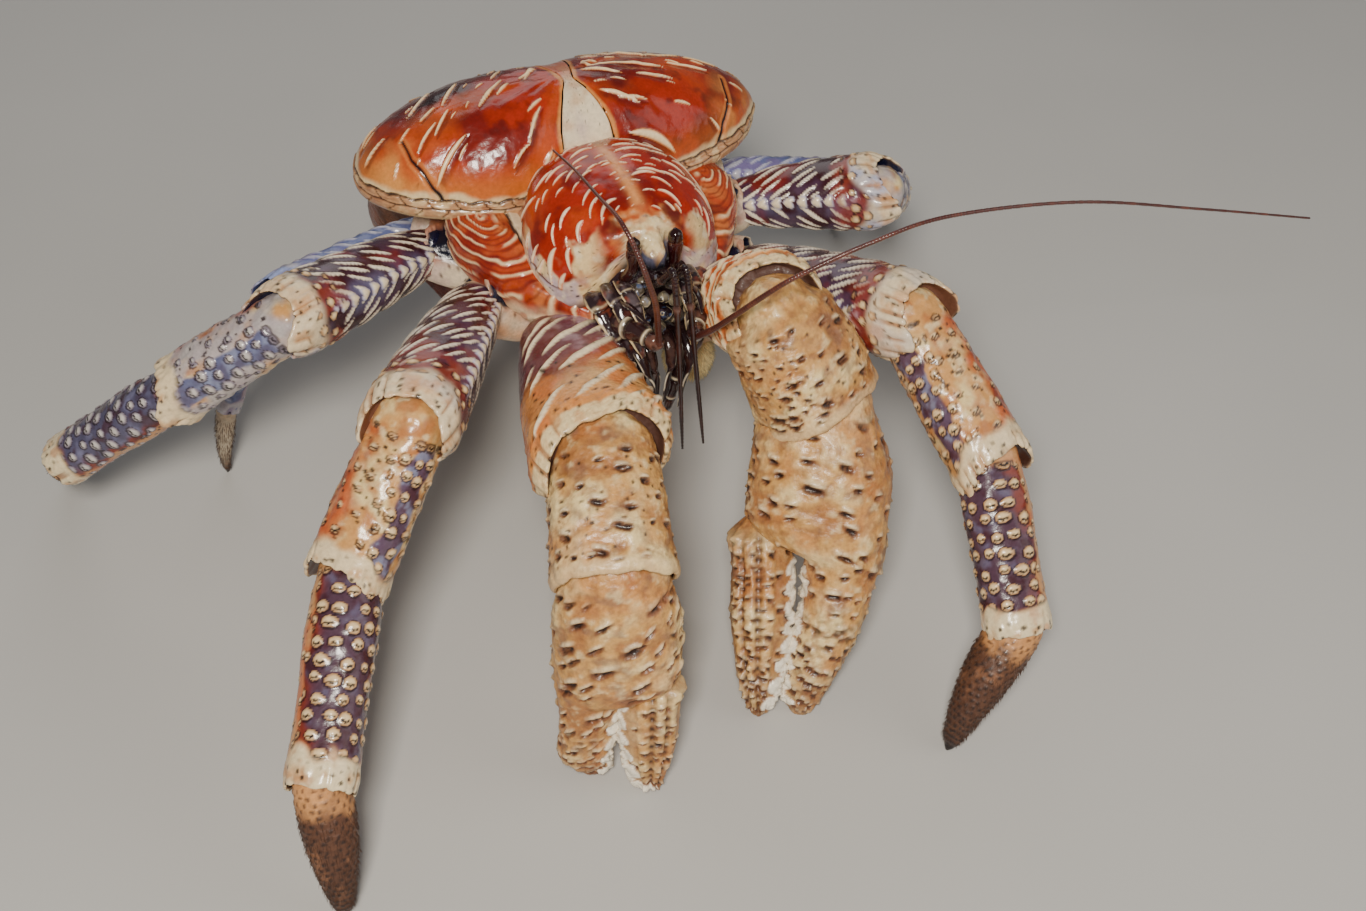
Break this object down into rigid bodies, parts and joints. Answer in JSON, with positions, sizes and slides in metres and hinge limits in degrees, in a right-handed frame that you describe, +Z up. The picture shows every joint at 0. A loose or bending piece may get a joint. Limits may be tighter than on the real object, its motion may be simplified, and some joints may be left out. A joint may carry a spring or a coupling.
{
  "type": "coconut crab",
  "caption": "Life-size still model of a coconut crab in a walking stance, with domed shell, strong claws, walking legs, feelers and a tucked-under abdomen.",
  "frame": {"origin": "on the floor plane under the middle of the whole model's box", "axes": "+Z up; the crab faces -Y, its right side is at -X, and the long left feeler reaches along +X"},
  "size_m": [0.5087, 0.3655, 0.1962],
  "materials": {
    "shell": "glossy orange-red to maroon shell with dark patches and cream crescent marks",
    "pale_plate": "glossy cream plate on the midline of the shell",
    "pale_shell": "cream-white shell of the limb bases and trunk, satin",
    "abdomen": "leathery brown skin with broad darker red-brown plates",
    "eye": "dark red-brown stalk with a glossy dark red cornea",
    "feeler": "finely ringed dark maroon-brown feelers and mouth limbs",
    "claw": "ochre-tan shell with dark oval pits and cream ridges, satin",
    "leg": "purple-maroon and blue shell with raised cream ridges and tubercles, satin",
    "leg_tip": "dark brown, pitted and bristled walking tip"
  },
  "bodies": {
    "root": {"cephalic_shield": "shell", "carapace_right": "shell", "carapace_left": "shell", "cardiac_plate": "pale_plate", "side_plate_right": "shell", "side_plate_left": "shell", "thorax": "pale_shell", "abdomen": "abdomen", "eye_right": "eye", "antennule_right": "feeler", "antenna_base_right": "feeler", "antenna_right": "feeler", "maxilliped_right": "feeler", "eye_left": "eye", "antennule_left": "feeler", "antenna_base_left": "feeler", "antenna_left": "feeler", "maxilliped_left": "feeler", "claw_right_base": "pale_shell", "claw_right_merus": "claw", "claw_right_carpus": "claw", "claw_right_hand": "claw", "claw_right_finger": "claw", "claw_left_base": "pale_shell", "claw_left_merus": "claw", "claw_left_carpus": "claw", "claw_left_hand": "claw", "claw_left_finger": "claw", "leg_2_right_base": "pale_shell", "leg_2_right_merus": "leg", "leg_2_right_carpus": "leg", "leg_2_right_hand": "leg", "leg_2_right_finger": "leg_tip", "leg_2_left_base": "pale_shell", "leg_2_left_merus": "leg", "leg_2_left_carpus": "leg", "leg_2_left_hand": "leg", "leg_2_left_finger": "leg_tip", "leg_3_right_base": "pale_shell", "leg_3_right_merus": "leg", "leg_3_right_carpus": "leg", "leg_3_right_hand": "leg", "leg_3_right_finger": "leg_tip", "leg_3_left_base": "pale_shell", "leg_3_left_merus": "leg", "leg_3_left_carpus": "leg", "leg_3_left_hand": "leg", "leg_3_left_finger": "leg_tip", "leg_4_right_base": "pale_shell", "leg_4_right_merus": "leg", "leg_4_right_carpus": "leg", "leg_4_right_hand": "leg", "leg_4_right_finger": "leg_tip", "leg_4_left_base": "pale_shell", "leg_4_left_merus": "leg", "leg_4_left_carpus": "leg", "leg_4_left_hand": "leg", "leg_4_left_finger": "leg_tip"}
  },
  "joints": []
}
